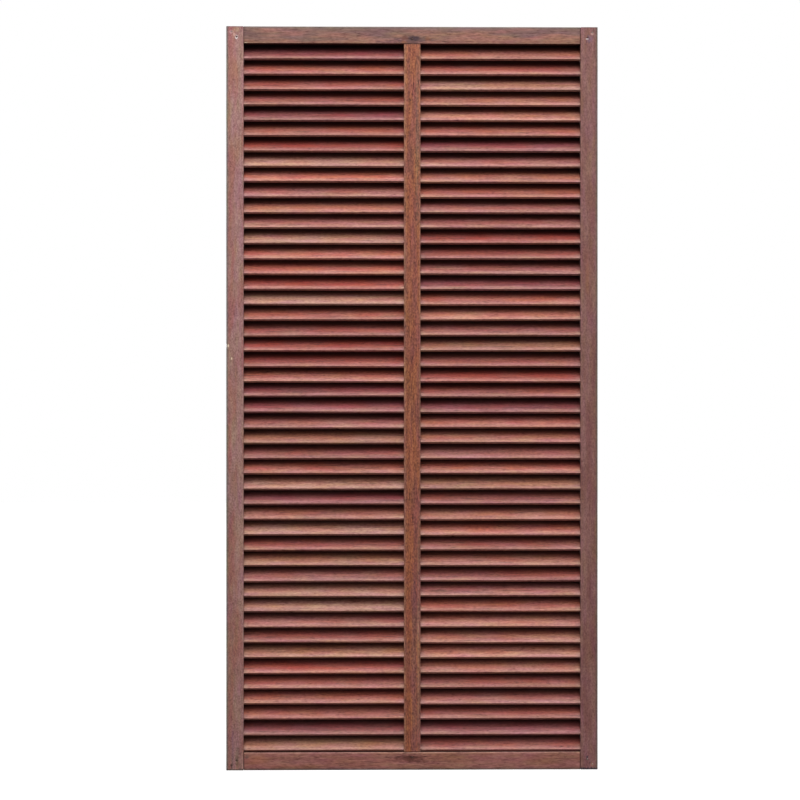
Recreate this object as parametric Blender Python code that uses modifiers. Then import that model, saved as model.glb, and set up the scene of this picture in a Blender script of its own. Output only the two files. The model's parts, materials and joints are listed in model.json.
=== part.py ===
"""Garden screen panel in hardwood: a mortised frame, a centre mullion and two bays of fixed louvre slats.

The panel stands upright. Its front faces -Y, its back lies in the plane y = 0, and +Z is up. The origin is
the centre of the mullion's back face, where the panel is fixed to a batten or a wall.
"""

import math
import random

import bmesh
import bpy
from mathutils import Matrix, Vector

# The panel, in metres
WIDTH = 0.900
HEIGHT = 1.800
DEPTH = 0.044

# The frame members' widths as seen from the front
STILE_FACE = 0.042
TOP_RAIL_FACE = 0.041
BOTTOM_RAIL_FACE = 0.043
MULLION_FACE = 0.040

# The louvres
SLAT_COUNT = 46
SLAT_WIDTH = 0.051
SLAT_THICKNESS = 0.007
SLAT_TILT = math.radians(48)
SLAT_HOUSED = 0.010  # how far a slat's end goes into a stile
FIRST_LIP_DROP = 0.0358  # from the top rail's underside down to the first row's front arris
LAST_LIP_LIFT = 0.0072  # from the bottom rail's top up to the last row's front arris

# The joints
TENON_THICKNESS = 0.014
TENON_HEIGHT = 0.028
RAIL_TENON = 0.036
MULLION_TENON = 0.025
CORNER_PIN_INSETS = (0.0130, 0.0252)  # along the corner's diagonal, from both outer edges
PIN_RADIUS = 0.0020
PIN_LENGTH = 0.034

# Eased edges
OUTER_EASE = 0.003
INNER_EASE = 0.001
SLAT_EASE = 0.0007
EASE_STEPS = 2

GAP = 0.0003  # between neighbouring pieces
PIN_SIDES = 12

# What follows from them
HALF_WIDTH = WIDTH / 2
HALF_HEIGHT = HEIGHT / 2
MID_DEPTH = -DEPTH / 2
OPENING_HALF_WIDTH = HALF_WIDTH - STILE_FACE
OPENING_TOP = HALF_HEIGHT - TOP_RAIL_FACE
OPENING_BOTTOM = BOTTOM_RAIL_FACE - HALF_HEIGHT
OPENING_HEIGHT = OPENING_TOP - OPENING_BOTTOM
MULLION_CENTER = (0, MID_DEPTH, (OPENING_TOP + OPENING_BOTTOM) / 2)
FIRST_LIP = OPENING_TOP - FIRST_LIP_DROP
LAST_LIP = OPENING_BOTTOM + LAST_LIP_LIFT
PITCH = (FIRST_LIP - LAST_LIP) / (SLAT_COUNT - 1)
SLAT_DEPTH = SLAT_WIDTH * math.cos(SLAT_TILT) + SLAT_THICKNESS * math.sin(SLAT_TILT)
SLAT_HALF_LENGTH = OPENING_HALF_WIDTH + SLAT_HOUSED

# Colour, roughness and metallic value of each finish
WOOD_ROUGHNESS = 0.6
FRAME_COLORS = {
    "stile_left": (0.260, 0.140, 0.120),
    "stile_right": (0.195, 0.100, 0.085),
    "rail_top": (0.235, 0.135, 0.115),
    "rail_bottom": (0.205, 0.090, 0.070),
    "mullion": (0.250, 0.105, 0.065),
}
SLAT_COLORS = {
    "terracotta": (0.370, 0.140, 0.090),
    "salmon": (0.450, 0.180, 0.130),
    "dusty_rose": (0.340, 0.150, 0.130),
    "brick": (0.330, 0.090, 0.065),
    "tan": (0.380, 0.200, 0.110),
}
SLAT_COLOR_SEED = 46
STEEL_COLOR = (0.55, 0.52, 0.50)
STEEL_ROUGHNESS = 0.4


def clear_scene():
    """Remove whatever the scene holds."""
    for old in list(bpy.data.objects):
        bpy.data.objects.remove(old, do_unlink=True)


def new_collection(name):
    """Add a collection to the scene."""
    collection = bpy.data.collections.new(name)
    bpy.context.scene.collection.children.link(collection)
    return collection


def make_material(name, color, roughness, metallic=0.0):
    """Make a Principled material from its plain values."""
    material = bpy.data.materials.new(name)
    material.use_nodes = True
    shader = material.node_tree.nodes["Principled BSDF"]
    shader.inputs["Base Color"].default_value = (*color, 1.0)
    shader.inputs["Roughness"].default_value = roughness
    shader.inputs["Metallic"].default_value = metallic
    material.diffuse_color = (*color, 1.0)
    return material


def box_mesh(name, size):
    """Make the mesh of a box about the origin."""
    shell = bmesh.new()
    bmesh.ops.create_cube(shell, size=1.0, matrix=Matrix.Diagonal((*size, 1.0)))
    mesh = bpy.data.meshes.new(name)
    shell.to_mesh(mesh)
    shell.free()
    return mesh


def pin_mesh(name, radius, length):
    """Make the mesh of a round bar that runs from the origin along +Y."""
    shell = bmesh.new()
    place = Matrix.Translation((0, length / 2, 0)) @ Matrix.Rotation(math.pi / 2, 4, "X")
    bmesh.ops.create_cone(shell, cap_ends=True, segments=PIN_SIDES, radius1=radius, radius2=radius,
                          depth=length, matrix=place)
    mesh = bpy.data.meshes.new(name)
    shell.to_mesh(mesh)
    shell.free()
    return mesh


def add_object(name, mesh, collection, material=None, location=(0, 0, 0), tilt=0.0):
    """Place a mesh in a collection as an object."""
    made = bpy.data.objects.new(name, mesh)
    made.location = location
    made.rotation_euler.x = tilt
    collection.objects.link(made)
    if material:
        if not mesh.materials:
            mesh.materials.append(None)
        made.material_slots[0].link = "OBJECT"
        made.material_slots[0].material = material
    return made


def add_cutter(name, mesh, collection, location=(0, 0, 0), tilt=0.0):
    """Place a mesh as a cutter: drawn as wire and left out of renders."""
    cutter = add_object(name, mesh, collection, location=location, tilt=tilt)
    cutter.hide_render = True
    cutter.display_type = "WIRE"
    return cutter


def ease_edges(made, width_of_edge, widest):
    """Round the edges that width_of_edge, a function of an edge's middle and direction, gives a width."""
    mesh = made.data
    weights = mesh.attributes.new("bevel_weight_edge", "FLOAT", "EDGE")
    for edge in mesh.edges:
        first, last = (mesh.vertices[index].co for index in edge.vertices)
        width = width_of_edge((first + last) / 2, (last - first).normalized())
        weights.data[edge.index].value = width / widest
    bevel = made.modifiers.new("eased_edges", "BEVEL")
    bevel.limit_method = "WEIGHT"
    bevel.width = widest
    bevel.segments = EASE_STEPS


def join_to(made, other):
    """Join another solid to an object."""
    union = made.modifiers.new(f"join_{other.name}", "BOOLEAN")
    union.operation = "UNION"
    union.object = other


def cut_from(made, cutters):
    """Cut a collection's solids out of an object."""
    cut = made.modifiers.new(f"cut_{cutters.name}", "BOOLEAN")
    cut.operation = "DIFFERENCE"
    cut.operand_type = "COLLECTION"
    cut.collection = cutters


def lip_height(row):
    """Give the height of a row's front upper arris, rows counted from 1 at the top."""
    return FIRST_LIP - (row - 1) * PITCH


def slat_center(row):
    """Give the centre of a row's slats, set midway between the panel's front and back."""
    along = Vector((0, math.cos(SLAT_TILT), math.sin(SLAT_TILT)))
    normal = Vector((0, -math.sin(SLAT_TILT), math.cos(SLAT_TILT)))
    lip = Vector((0, MID_DEPTH - SLAT_DEPTH / 2, lip_height(row)))
    return lip + along * SLAT_WIDTH / 2 - normal * SLAT_THICKNESS / 2


def slat_materials():
    """Give each row its tone of wood, in a fixed order that looks unsorted."""
    tones = [make_material(f"slat_{name}", color, WOOD_ROUGHNESS) for name, color in SLAT_COLORS.items()]
    shuffle = random.Random(SLAT_COLOR_SEED)
    return [shuffle.choice(tones) for _ in range(SLAT_COUNT)]


def add_slat_rows(parts):
    """Add the louvres. A row is the left and the right slat, which meet inside the mullion."""
    size = (2 * SLAT_HALF_LENGTH, SLAT_WIDTH, SLAT_THICKNESS)
    for row, material in enumerate(slat_materials(), start=1):
        mesh = box_mesh(f"slat_row_{row:02d}", size)
        slat = add_object(mesh.name, mesh, parts, material, slat_center(row), SLAT_TILT)
        ease_edges(slat, lambda middle, along: SLAT_EASE if abs(along.x) > 0.5 else 0, SLAT_EASE)


def add_slat_cutters(cutters):
    """Add the housings, each one gap larger all round than the slats that it takes."""
    size = [side + 2 * GAP for side in (2 * SLAT_HALF_LENGTH, SLAT_WIDTH, SLAT_THICKNESS)]
    mesh = box_mesh("slat_housing", size)
    for row in range(1, SLAT_COUNT + 1):
        add_cutter(f"slat_housing_{row:02d}", mesh, cutters, slat_center(row), SLAT_TILT)


def add_frame_member(name, size, center, parts):
    """Add a frame member. Its arrises along the panel's outline are eased more than the others."""
    material = make_material(f"{name}_wood", FRAME_COLORS[name], WOOD_ROUGHNESS)
    member = add_object(name, box_mesh(name, size), parts, material, center)

    def ease_of(middle, along):
        on_side = abs(middle.x + center[0]) > HALF_WIDTH - GAP
        on_end = abs(middle.z + center[2]) > HALF_HEIGHT - GAP and abs(along.x) > 0.5
        return OUTER_EASE if on_side or on_end else INNER_EASE

    ease_edges(member, ease_of, OUTER_EASE)
    return member


def add_stile(side, name, parts, cutter_groups):
    """Add an outer upright, with the slats' housings, the rails' mortises and the pins' holes."""
    size = (STILE_FACE, DEPTH, HEIGHT)
    center = (side * (HALF_WIDTH - STILE_FACE / 2), MID_DEPTH, 0)
    stile = add_frame_member(name, size, center, parts)
    for group in ("slat_housings", "rail_mortises", "pin_holes"):
        cut_from(stile, cutter_groups[group])


def tenon_size(reach, along, grow=0.0):
    """Give the size of the box that holds a member's two tenons, which runs along an axis to reach."""
    size = [TENON_HEIGHT, TENON_THICKNESS, TENON_HEIGHT]
    size[along] = 2 * reach
    return [side + 2 * grow for side in size]


def rail_face(side):
    """Give the face width of the top (side 1) or bottom (side -1) rail."""
    return TOP_RAIL_FACE if side > 0 else BOTTOM_RAIL_FACE


def rail_center(side):
    """Give the centre of the top (side 1) or bottom (side -1) rail."""
    return (0, MID_DEPTH, side * (HALF_HEIGHT - rail_face(side) / 2))


def add_rail(side, name, parts, helpers, cutter_groups):
    """Add a rail, tenoned at both ends, with the mullion's mortise, the pins' holes and, in the top rail,
    the groove that takes the first row's back edge.
    """
    size = (2 * (OPENING_HALF_WIDTH - GAP), DEPTH, rail_face(side))
    rail = add_frame_member(name, size, rail_center(side), parts)
    tenon = box_mesh(f"{name}_tenons", tenon_size(OPENING_HALF_WIDTH + RAIL_TENON, 0))
    join_to(rail, add_cutter(tenon.name, tenon, helpers, rail_center(side)))
    for group in ("slat_housings", "mullion_mortises", "pin_holes"):
        cut_from(rail, cutter_groups[group])


def add_mullion(parts, helpers, cutter_groups):
    """Add the centre upright, tenoned into both rails, with a housing right through it for each row."""
    size = (MULLION_FACE, DEPTH, OPENING_HEIGHT - 2 * GAP)
    mullion = add_frame_member("mullion", size, MULLION_CENTER, parts)
    tenon = box_mesh("mullion_tenons", tenon_size(OPENING_HEIGHT / 2 + MULLION_TENON, 2))
    join_to(mullion, add_cutter(tenon.name, tenon, helpers, MULLION_CENTER))
    cut_from(mullion, cutter_groups["slat_housings"])


def add_mortise_cutters(cutter_groups):
    """Add what cuts the mortises, one gap larger all round than the tenons."""
    rail_tenons = box_mesh("rail_mortise", tenon_size(OPENING_HALF_WIDTH + RAIL_TENON, 0, GAP))
    for side, name in ((1, "top"), (-1, "bottom")):
        add_cutter(f"rail_mortise_{name}", rail_tenons, cutter_groups["rail_mortises"], rail_center(side))
    mullion_tenons = box_mesh("mullion_mortise", tenon_size(OPENING_HEIGHT / 2 + MULLION_TENON, 2, GAP))
    add_cutter("mullion_mortise", mullion_tenons, cutter_groups["mullion_mortises"], MULLION_CENTER)


def pin_places():
    """Give the name and the front end's place of each corner pin: two on each corner's diagonal."""
    for up, up_name in ((1, "top"), (-1, "bottom")):
        for side, side_name in ((-1, "left"), (1, "right")):
            for inset, inset_name in zip(CORNER_PIN_INSETS, ("outer", "inner")):
                place = (side * (HALF_WIDTH - inset), -DEPTH, up * (HALF_HEIGHT - inset))
                yield f"pin_{up_name}_{side_name}_{inset_name}", place


def add_pins(parts, holes):
    """Add the corner pins, driven in from the front, and what bores their holes."""
    steel = make_material("pin_steel", STEEL_COLOR, STEEL_ROUGHNESS, metallic=1.0)
    pin = pin_mesh("pin", PIN_RADIUS, PIN_LENGTH)
    hole = pin_mesh("pin_hole", PIN_RADIUS + GAP, PIN_LENGTH + 2 * GAP)
    for name, place in pin_places():
        add_object(name, pin, parts, steel, place)
        add_cutter(f"{name}_hole", hole, holes, Vector(place) - Vector((0, GAP, 0)))


def main():
    """Build the panel."""
    clear_scene()
    parts = new_collection("garden_screen_panel")
    helpers = new_collection("cutters")
    names = ("slat_housings", "rail_mortises", "mullion_mortises", "pin_holes")
    cutter_groups = {name: bpy.data.collections.new(name) for name in names}
    for group in cutter_groups.values():
        helpers.children.link(group)
    add_slat_cutters(cutter_groups["slat_housings"])
    add_mortise_cutters(cutter_groups)
    add_pins(parts, cutter_groups["pin_holes"])
    add_stile(-1, "stile_left", parts, cutter_groups)
    add_stile(1, "stile_right", parts, cutter_groups)
    add_rail(1, "rail_top", parts, helpers, cutter_groups)
    add_rail(-1, "rail_bottom", parts, helpers, cutter_groups)
    add_mullion(parts, helpers, cutter_groups)
    add_slat_rows(parts)


main()
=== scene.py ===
"""Garden screen panel in hardwood: its frame, louvres and pins, built and dressed for a plain pale studio.

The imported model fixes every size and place. Each board is built again as a lofted mesh with the small bows,
eased arrises, chips and housings of real joinery, and gets a wood finish of its own.

Every board has the same local axes. X runs with the grain. Y runs across the board, from the panel's outer
edge on a frame member and from the front lip on a louvre. Z runs through the thickness, from the front of a
frame member to its back, and from the underside of a louvre to its upper face.
"""

from __future__ import annotations

import json
import logging
import math
import random
from dataclasses import dataclass, field, replace
from enum import Enum
from functools import cache
from typing import Iterable, Mapping, Sequence, Union

import bpy
import numpy as np
from mathutils import Matrix, Vector, noise


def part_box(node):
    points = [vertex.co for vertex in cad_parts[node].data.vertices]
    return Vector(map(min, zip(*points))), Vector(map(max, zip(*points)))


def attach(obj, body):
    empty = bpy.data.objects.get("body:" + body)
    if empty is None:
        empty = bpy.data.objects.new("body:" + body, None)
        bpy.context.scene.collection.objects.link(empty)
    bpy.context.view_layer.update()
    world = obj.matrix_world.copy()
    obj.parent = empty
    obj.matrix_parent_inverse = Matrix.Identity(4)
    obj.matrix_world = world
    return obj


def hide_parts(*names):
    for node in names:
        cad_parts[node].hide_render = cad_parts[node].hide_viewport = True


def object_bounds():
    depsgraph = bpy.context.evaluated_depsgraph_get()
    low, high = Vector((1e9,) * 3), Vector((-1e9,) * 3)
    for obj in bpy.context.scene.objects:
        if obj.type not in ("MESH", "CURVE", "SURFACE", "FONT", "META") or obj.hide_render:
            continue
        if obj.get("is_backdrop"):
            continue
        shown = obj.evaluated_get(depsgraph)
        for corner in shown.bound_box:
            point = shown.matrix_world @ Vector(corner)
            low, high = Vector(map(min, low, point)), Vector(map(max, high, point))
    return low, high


LOG = logging.getLogger("garden_screen")
ROOT = "root"

Color = tuple[float, float, float]
Box = tuple[Vector, Vector]


# ---- Shader trees ----


class Signal:
    """A socket of a shader tree that takes part in plain arithmetic on values."""

    def __init__(self, tree: ShaderTree, socket: bpy.types.NodeSocket) -> None:
        """Wrap an output socket of a tree."""
        self.tree = tree
        self.socket = socket

    def _math(self, operation: str, *values: Value) -> Signal:
        """Add one Math node with its values in order."""
        return self.tree.node("ShaderNodeMath", {"operation": operation}, dict(enumerate(values)))

    def __add__(self, other: Value) -> Signal:
        """Add a value."""
        return self._math("ADD", self, other)

    __radd__ = __add__

    def __sub__(self, other: Value) -> Signal:
        """Subtract a value."""
        return self._math("SUBTRACT", self, other)

    def __rsub__(self, other: Value) -> Signal:
        """Subtract this from a value."""
        return self._math("SUBTRACT", other, self)

    def __mul__(self, other: Value) -> Signal:
        """Multiply by a value."""
        return self._math("MULTIPLY", self, other)

    __rmul__ = __mul__

    def __truediv__(self, other: Value) -> Signal:
        """Divide by a value."""
        return self._math("DIVIDE", self, other)

    def __pow__(self, other: Value) -> Signal:
        """Raise to a power."""
        return self._math("POWER", self, other)

    def __abs__(self) -> Signal:
        """Drop the sign."""
        return self._math("ABSOLUTE", self)

    def at_most(self, other: Value) -> Signal:
        """Take the smaller of this and a value."""
        return self._math("MINIMUM", self, other)

    def at_least(self, other: Value) -> Signal:
        """Take the larger of this and a value."""
        return self._math("MAXIMUM", self, other)


Value = Union[Signal, float]
Input = Union[Signal, float, Sequence[float]]
MIX_SHARE, MIX_FIRST, MIX_SECOND, MIX_RESULT = 0, 6, 7, 2  # the colour sockets of a Mix node


class ShaderTree:
    """The node tree of a material or a world, built from expressions."""

    def __init__(self, owner: bpy.types.Material | bpy.types.World) -> None:
        """Open the tree of a material or a world.

        Args:
            owner: What the tree belongs to.
        """
        owner.use_nodes = True
        self.nodes = owner.node_tree.nodes
        self.links = owner.node_tree.links

    def node(
        self,
        kind: str,
        settings: Mapping[str, object] | None = None,
        inputs: Mapping[str | int, Input] | None = None,
        output: str | int = 0,
    ) -> Signal:
        """Add a node.

        Args:
            kind: The node's type.
            settings: The node's own properties, which are set first.
            inputs: Values or links for its sockets, by name or place.
            output: The name or place of the socket to hand back.

        Returns:
            The chosen output.
        """
        made = self.nodes.new(kind)
        for name, setting in (settings or {}).items():
            setattr(made, name, setting)
        for key, value in (inputs or {}).items():
            self.feed(made.inputs[key], value)
        return Signal(self, made.outputs[output])

    def feed(self, socket: bpy.types.NodeSocket, value: Input) -> None:
        """Link or set an input socket.

        Args:
            socket: The socket.
            value: A signal to link, or a value or colour to set.
        """
        if isinstance(value, Signal):
            self.links.new(value.socket, socket)
        elif isinstance(value, (int, float)):
            socket.default_value = value
        else:
            width = len(socket.default_value)
            socket.default_value = (*value, 1.0)[:width]

    def blend(self, first: Input, second: Input, share: Value) -> Signal:
        """Mix two colours, from the first at share 0 to the second at share 1."""
        values = {MIX_SHARE: share, MIX_FIRST: first, MIX_SECOND: second}
        return self.node("ShaderNodeMix", {"data_type": "RGBA"}, values, MIX_RESULT)

    def vector(self, operation: str, first: Input, second: Input) -> Signal:
        """Combine two vectors or colours with a Vector Math node."""
        return self.node("ShaderNodeVectorMath", {"operation": operation}, {0: first, 1: second})

    def shaded(self, color: Input, shade: Signal, deepening: float, hue: Value = 0.0) -> Signal:
        """Darken or lighten a colour as oiled wood does: its red changes least.

        Args:
            color: The colour.
            shade: How much of its red stays.
            deepening: The power of the shade that stays of its green and blue.
            hue: How far it turns, to violet below 0 and to tan above.

        Returns:
            The shaded colour.
        """
        cool = shade**deepening
        kept = {0: shade, 1: cool * (1 + hue), 2: cool * (1 - hue)}
        return self.vector("MULTIPLY", color, self.node("ShaderNodeCombineXYZ", inputs=kept))

    def smooth(self, value: Value, low: float, high: float) -> Signal:
        """Ease a value from 0 at low to 1 at high. Low may lie above high.

        Args:
            value: The value.
            low: Where the result is 0.
            high: Where the result is 1.

        Returns:
            A value from 0 to 1.
        """
        places = {"Value": value, "From Min": min(low, high), "From Max": max(low, high)}
        eased = self.node("ShaderNodeMapRange", {"interpolation_type": "SMOOTHSTEP"}, places)
        return eased if low < high else 1 - eased

    def attribute(self, name: str) -> Signal:
        """Read a value stored on the mesh."""
        return self.node("ShaderNodeAttribute", {"attribute_name": name}, output="Fac")

    def axes(self, vector: Signal) -> tuple[Signal, Signal, Signal]:
        """Split a vector into its three values.

        Args:
            vector: The vector.

        Returns:
            Its X, Y and Z.
        """
        split = self.node("ShaderNodeSeparateXYZ", inputs={0: vector})
        node = split.socket.node
        return split, Signal(self, node.outputs[1]), Signal(self, node.outputs[2])


class Principled(ShaderTree):
    """A new material with a Principled shader."""

    def __init__(self, name: str, **constants: float) -> None:
        """Make the material.

        Args:
            name: The material's name.
            constants: Values of the shader's sockets that are the same all over, underscores for spaces.
        """
        self.material = bpy.data.materials.new(name)
        super().__init__(self.material)
        self.shader = self.nodes["Principled BSDF"]
        for socket, value in constants.items():
            self.shader.inputs[socket.replace("_", " ")].default_value = value

    def drive(self, socket: str, value: Input) -> None:
        """Set or link one of the shader's sockets."""
        self.feed(self.shader.inputs[socket], value)

    def emboss(self, height: Signal, strength: float, distance: float) -> None:
        """Raise the surface by a height from 0 to about 1, the distance being the relief in metres."""
        values = {"Strength": strength, "Distance": distance, "Height": height}
        self.drive("Normal", self.node("ShaderNodeBump", inputs=values))


# ---- Finishes ----


@dataclass(frozen=True)
class Mark:
    """A stain, knock or worn spot on a board's front.

    Attributes:
        place: Its middle in the board's X and Y, in metres.
        reach: Its half length with the grain and half width across it.
        color: What it turns the wood to.
        strength: How far, from 0 to 1.
    """

    place: tuple[float, float]
    reach: tuple[float, float]
    color: Color
    strength: float = 0.6


@dataclass(frozen=True)
class Streaks:
    """One layer of noise drawn out with the grain.

    Attributes:
        along: How many times it changes in a metre with the grain.
        across: How many times it changes in a metre across it.
        strength: How strongly it changes the tone.
    """

    along: float
    across: float
    strength: float = 1.0


@dataclass(frozen=True)
class GrainLook:
    """The layers of a planed hardwood board's grain, from the broadest to the finest."""

    figure: Streaks = Streaks(2.6, 70, 0.075)
    bands: Streaks = Streaks(18, 220, 0.060)
    fiber: Streaks = Streaks(115, 330, 0.105)
    pores: Streaks = Streaks(70, 480, 0.30)


class Grain:
    """The grain's signals within one material."""

    SPREAD = 10.0  # what brings plain noise to about unit spread
    SEED_SHIFT = (7.3, 3.1, 5.7)  # what the board's seed is multiplied by to shift its grain
    PORES = (0.9, 2.0)  # the noise at which a pore starts, and is full
    RELIEF = (0.12, 0.08, 0.5)  # how far the fibre and the bands stand up, and the pores go down
    DARKEST = 0.25

    def __init__(self, tree: Principled, look: GrainLook) -> None:
        """Lay out the grain.

        Args:
            tree: The material's tree.
            look: Its layers.
        """
        self.tree = tree
        self.place = tree.node("ShaderNodeTexCoord", output="Object")
        self.x, self.y, self.z = tree.axes(self.place)
        seed = tree.attribute("seed")
        shift = {axis: seed * step for axis, step in enumerate(self.SEED_SHIFT)}
        self.shifted = tree.vector("ADD", self.place, tree.node("ShaderNodeCombineXYZ", inputs=shift))
        self.figure, self.bands, self.fiber, pores = (
            self.noise(layer) for layer in (look.figure, look.bands, look.fiber, look.pores)
        )
        self.pore = tree.smooth(pores, *self.PORES)
        fiber, bands, pore = self.RELIEF
        self.relief = self.fiber * fiber + self.bands * bands - self.pore * pore
        self.shade = (
            1
            + look.figure.strength * self.figure
            + look.bands.strength * self.bands
            + look.fiber.strength * self.fiber
            - look.pores.strength * self.pore
        ).at_least(self.DARKEST)

    def noise(self, layer: Streaks) -> Signal:
        """Make one layer's noise.

        Args:
            layer: The layer.

        Returns:
            A value about 0, mostly within -2 and 2.
        """
        scale = (layer.along, layer.across, layer.across)
        values = {"Vector": self.tree.vector("MULTIPLY", self.shifted, scale), "Scale": 1.0, "Detail": 1.5}
        plain = self.tree.node("ShaderNodeTexNoise", inputs=values)
        return (plain - 0.5) * self.SPREAD


@dataclass(frozen=True)
class WoodFinish:
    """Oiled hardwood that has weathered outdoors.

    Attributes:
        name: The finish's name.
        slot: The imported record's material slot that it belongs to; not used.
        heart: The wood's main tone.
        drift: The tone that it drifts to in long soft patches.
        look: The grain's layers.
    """

    name: str
    slot: str
    heart: Color
    drift: Color
    look: GrainLook = GrainLook()

    PATCHES = Streaks(10, 30)
    MOTTLE = Streaks(16, 70, 0.045)
    DRIFTED = (-1.3, 1.3)  # the lean at which the wood is all heart, and all drift
    CAST_SPREAD = 0.09
    GRAIN_DEEPENING = 1.35
    SHADE_AND_DIRT_DEEPENING = 1.18
    ROUGHNESS = 0.62
    FIBER_ROUGHNESS = 0.03
    PORE_ROUGHNESS = 0.12

    @cache
    def material(self) -> bpy.types.Material:
        """Make the finish's material once.

        Returns:
            The material.
        """
        tree = Principled(self.name)
        grain = Grain(tree, self.look)
        color = tree.blend(self.heart, self.drift, tree.smooth(self.lean(grain), *self.DRIFTED))
        shade = grain.shade * (1 + self.CAST_SPREAD * tree.attribute("cast"))
        mottle = self.MOTTLE.strength * grain.noise(self.MOTTLE)
        color = tree.shaded(self.wear_and_highlights(tree, grain, color), shade, self.GRAIN_DEEPENING, mottle)
        # dirt, painted shade and painted light darken or lighten the tone last
        tree.drive("Base Color", tree.shaded(color, self.painted_shade_and_dirt(tree, grain), self.SHADE_AND_DIRT_DEEPENING))
        rough = self.ROUGHNESS + self.FIBER_ROUGHNESS * grain.fiber + self.PORE_ROUGHNESS * grain.pore
        tree.drive("Roughness", rough)
        tree.emboss(grain.relief, strength=0.5, distance=0.0004)
        return tree.material

    def lean(self, grain: Grain) -> Signal:
        """Give which way each place leans: to the heart below 0, to the drift above."""
        return grain.noise(self.PATCHES)

    def wear_and_highlights(self, tree: Principled, grain: Grain, color: Signal) -> Signal:
        """Lay wear and painted highlights over the wood's tone."""
        raise NotImplementedError

    def painted_shade_and_dirt(self, tree: Principled, grain: Grain) -> Signal:
        """Give how much of the tone stays under dirt, painted shade and painted light: 1 where none of them
        falls.
        """
        raise NotImplementedError


@dataclass(frozen=True)
class LouvreFinish(WoodFinish):
    """The finish of a louvre: a pale lip, part wear and part painted highlight, dust at its ends, and painted
    shade with some dirt towards its back edge.

    Attributes:
        width: The louvre's width.
        visible: The length that shows between the uprights.
        lip: The tone of the pale lip, part wear and part painted highlight.
        dust: The tone of the dusty ends.
        streak: The tone of the few dark streaks in the grain.
    """

    width: float = 0.051
    visible: float = 0.388
    lip: Color = (0.41, 0.215, 0.180)
    dust: Color = (0.33, 0.185, 0.150)
    streak: Color = (0.080, 0.022, 0.016)

    STREAKS = Streaks(11, 300)
    STREAKED = (1.35, 2.1)  # the noise at which a streak starts, and is full
    # Where each kind of wear, dust, painted highlight and painted shade starts and where it is full, in metres
    # from the lip or from an upright.
    LIP_WEAR_AND_HIGHLIGHT = (0.015, 0.002)
    DUST_FROM_END = (0.016, 0.002)
    DUST_FROM_LIP = (0.020, 0.003)
    # painted shade with some dirt: the upper face is darkened deep between the louvres, where the louvre above
    # shades it
    DEEP_SHADE_AND_DIRT = (0.016, 0.042)
    UPPER_FACE = (-0.001, 0.002)
    RAGGED = 0.001  # how far the grain pulls those edges
    # How strongly each shows.
    STREAK_STRENGTH = 0.6
    LIP_STRENGTH = 0.42
    DUST_STRENGTH = 0.45
    # how strongly the painted shade deep between the louvres shows
    DEEP_SHADE_AND_DIRT_STRENGTH = 0.84

    def wear_and_highlights(self, tree: Principled, grain: Grain, color: Signal) -> Signal:
        """Lay a few dark streaks in the grain, pale the wood along the lip as wear and a painted highlight, and
        pale it most at the lip's ends with dust.

        Args:
            tree: The material's tree.
            grain: The board's grain.
            color: The wood's tone.

        Returns:
            The tone with its streaks, wear, dust and painted highlight.
        """
        streaks = tree.smooth(grain.noise(self.STREAKS), *self.STREAKED)
        color = tree.blend(color, self.streak, self.STREAK_STRENGTH * streaks)
        from_lip = grain.y + self.width / 2
        # wear and a painted highlight pale the lip
        edge = tree.smooth(from_lip - self.RAGGED * grain.bands, *self.LIP_WEAR_AND_HIGHLIGHT)
        color = tree.blend(color, self.lip, self.LIP_STRENGTH * edge)
        from_end = self.visible / 2 - abs(grain.x)
        corner = tree.smooth(from_end, *self.DUST_FROM_END) * tree.smooth(from_lip, *self.DUST_FROM_LIP)
        return tree.blend(color, self.dust, self.DUST_STRENGTH * corner)

    def painted_shade_and_dirt(self, tree: Principled, grain: Grain) -> Signal:
        """Paint shade, with some dirt, on the upper face deep between the louvres, where the louvre above
        shades it.
        """
        # painted shade, with some dirt, deep on the upper face
        deep = tree.smooth(grain.y + self.width / 2 + self.RAGGED * grain.figure, *self.DEEP_SHADE_AND_DIRT)
        return 1 - self.DEEP_SHADE_AND_DIRT_STRENGTH * deep * tree.smooth(grain.z, *self.UPPER_FACE)


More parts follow.
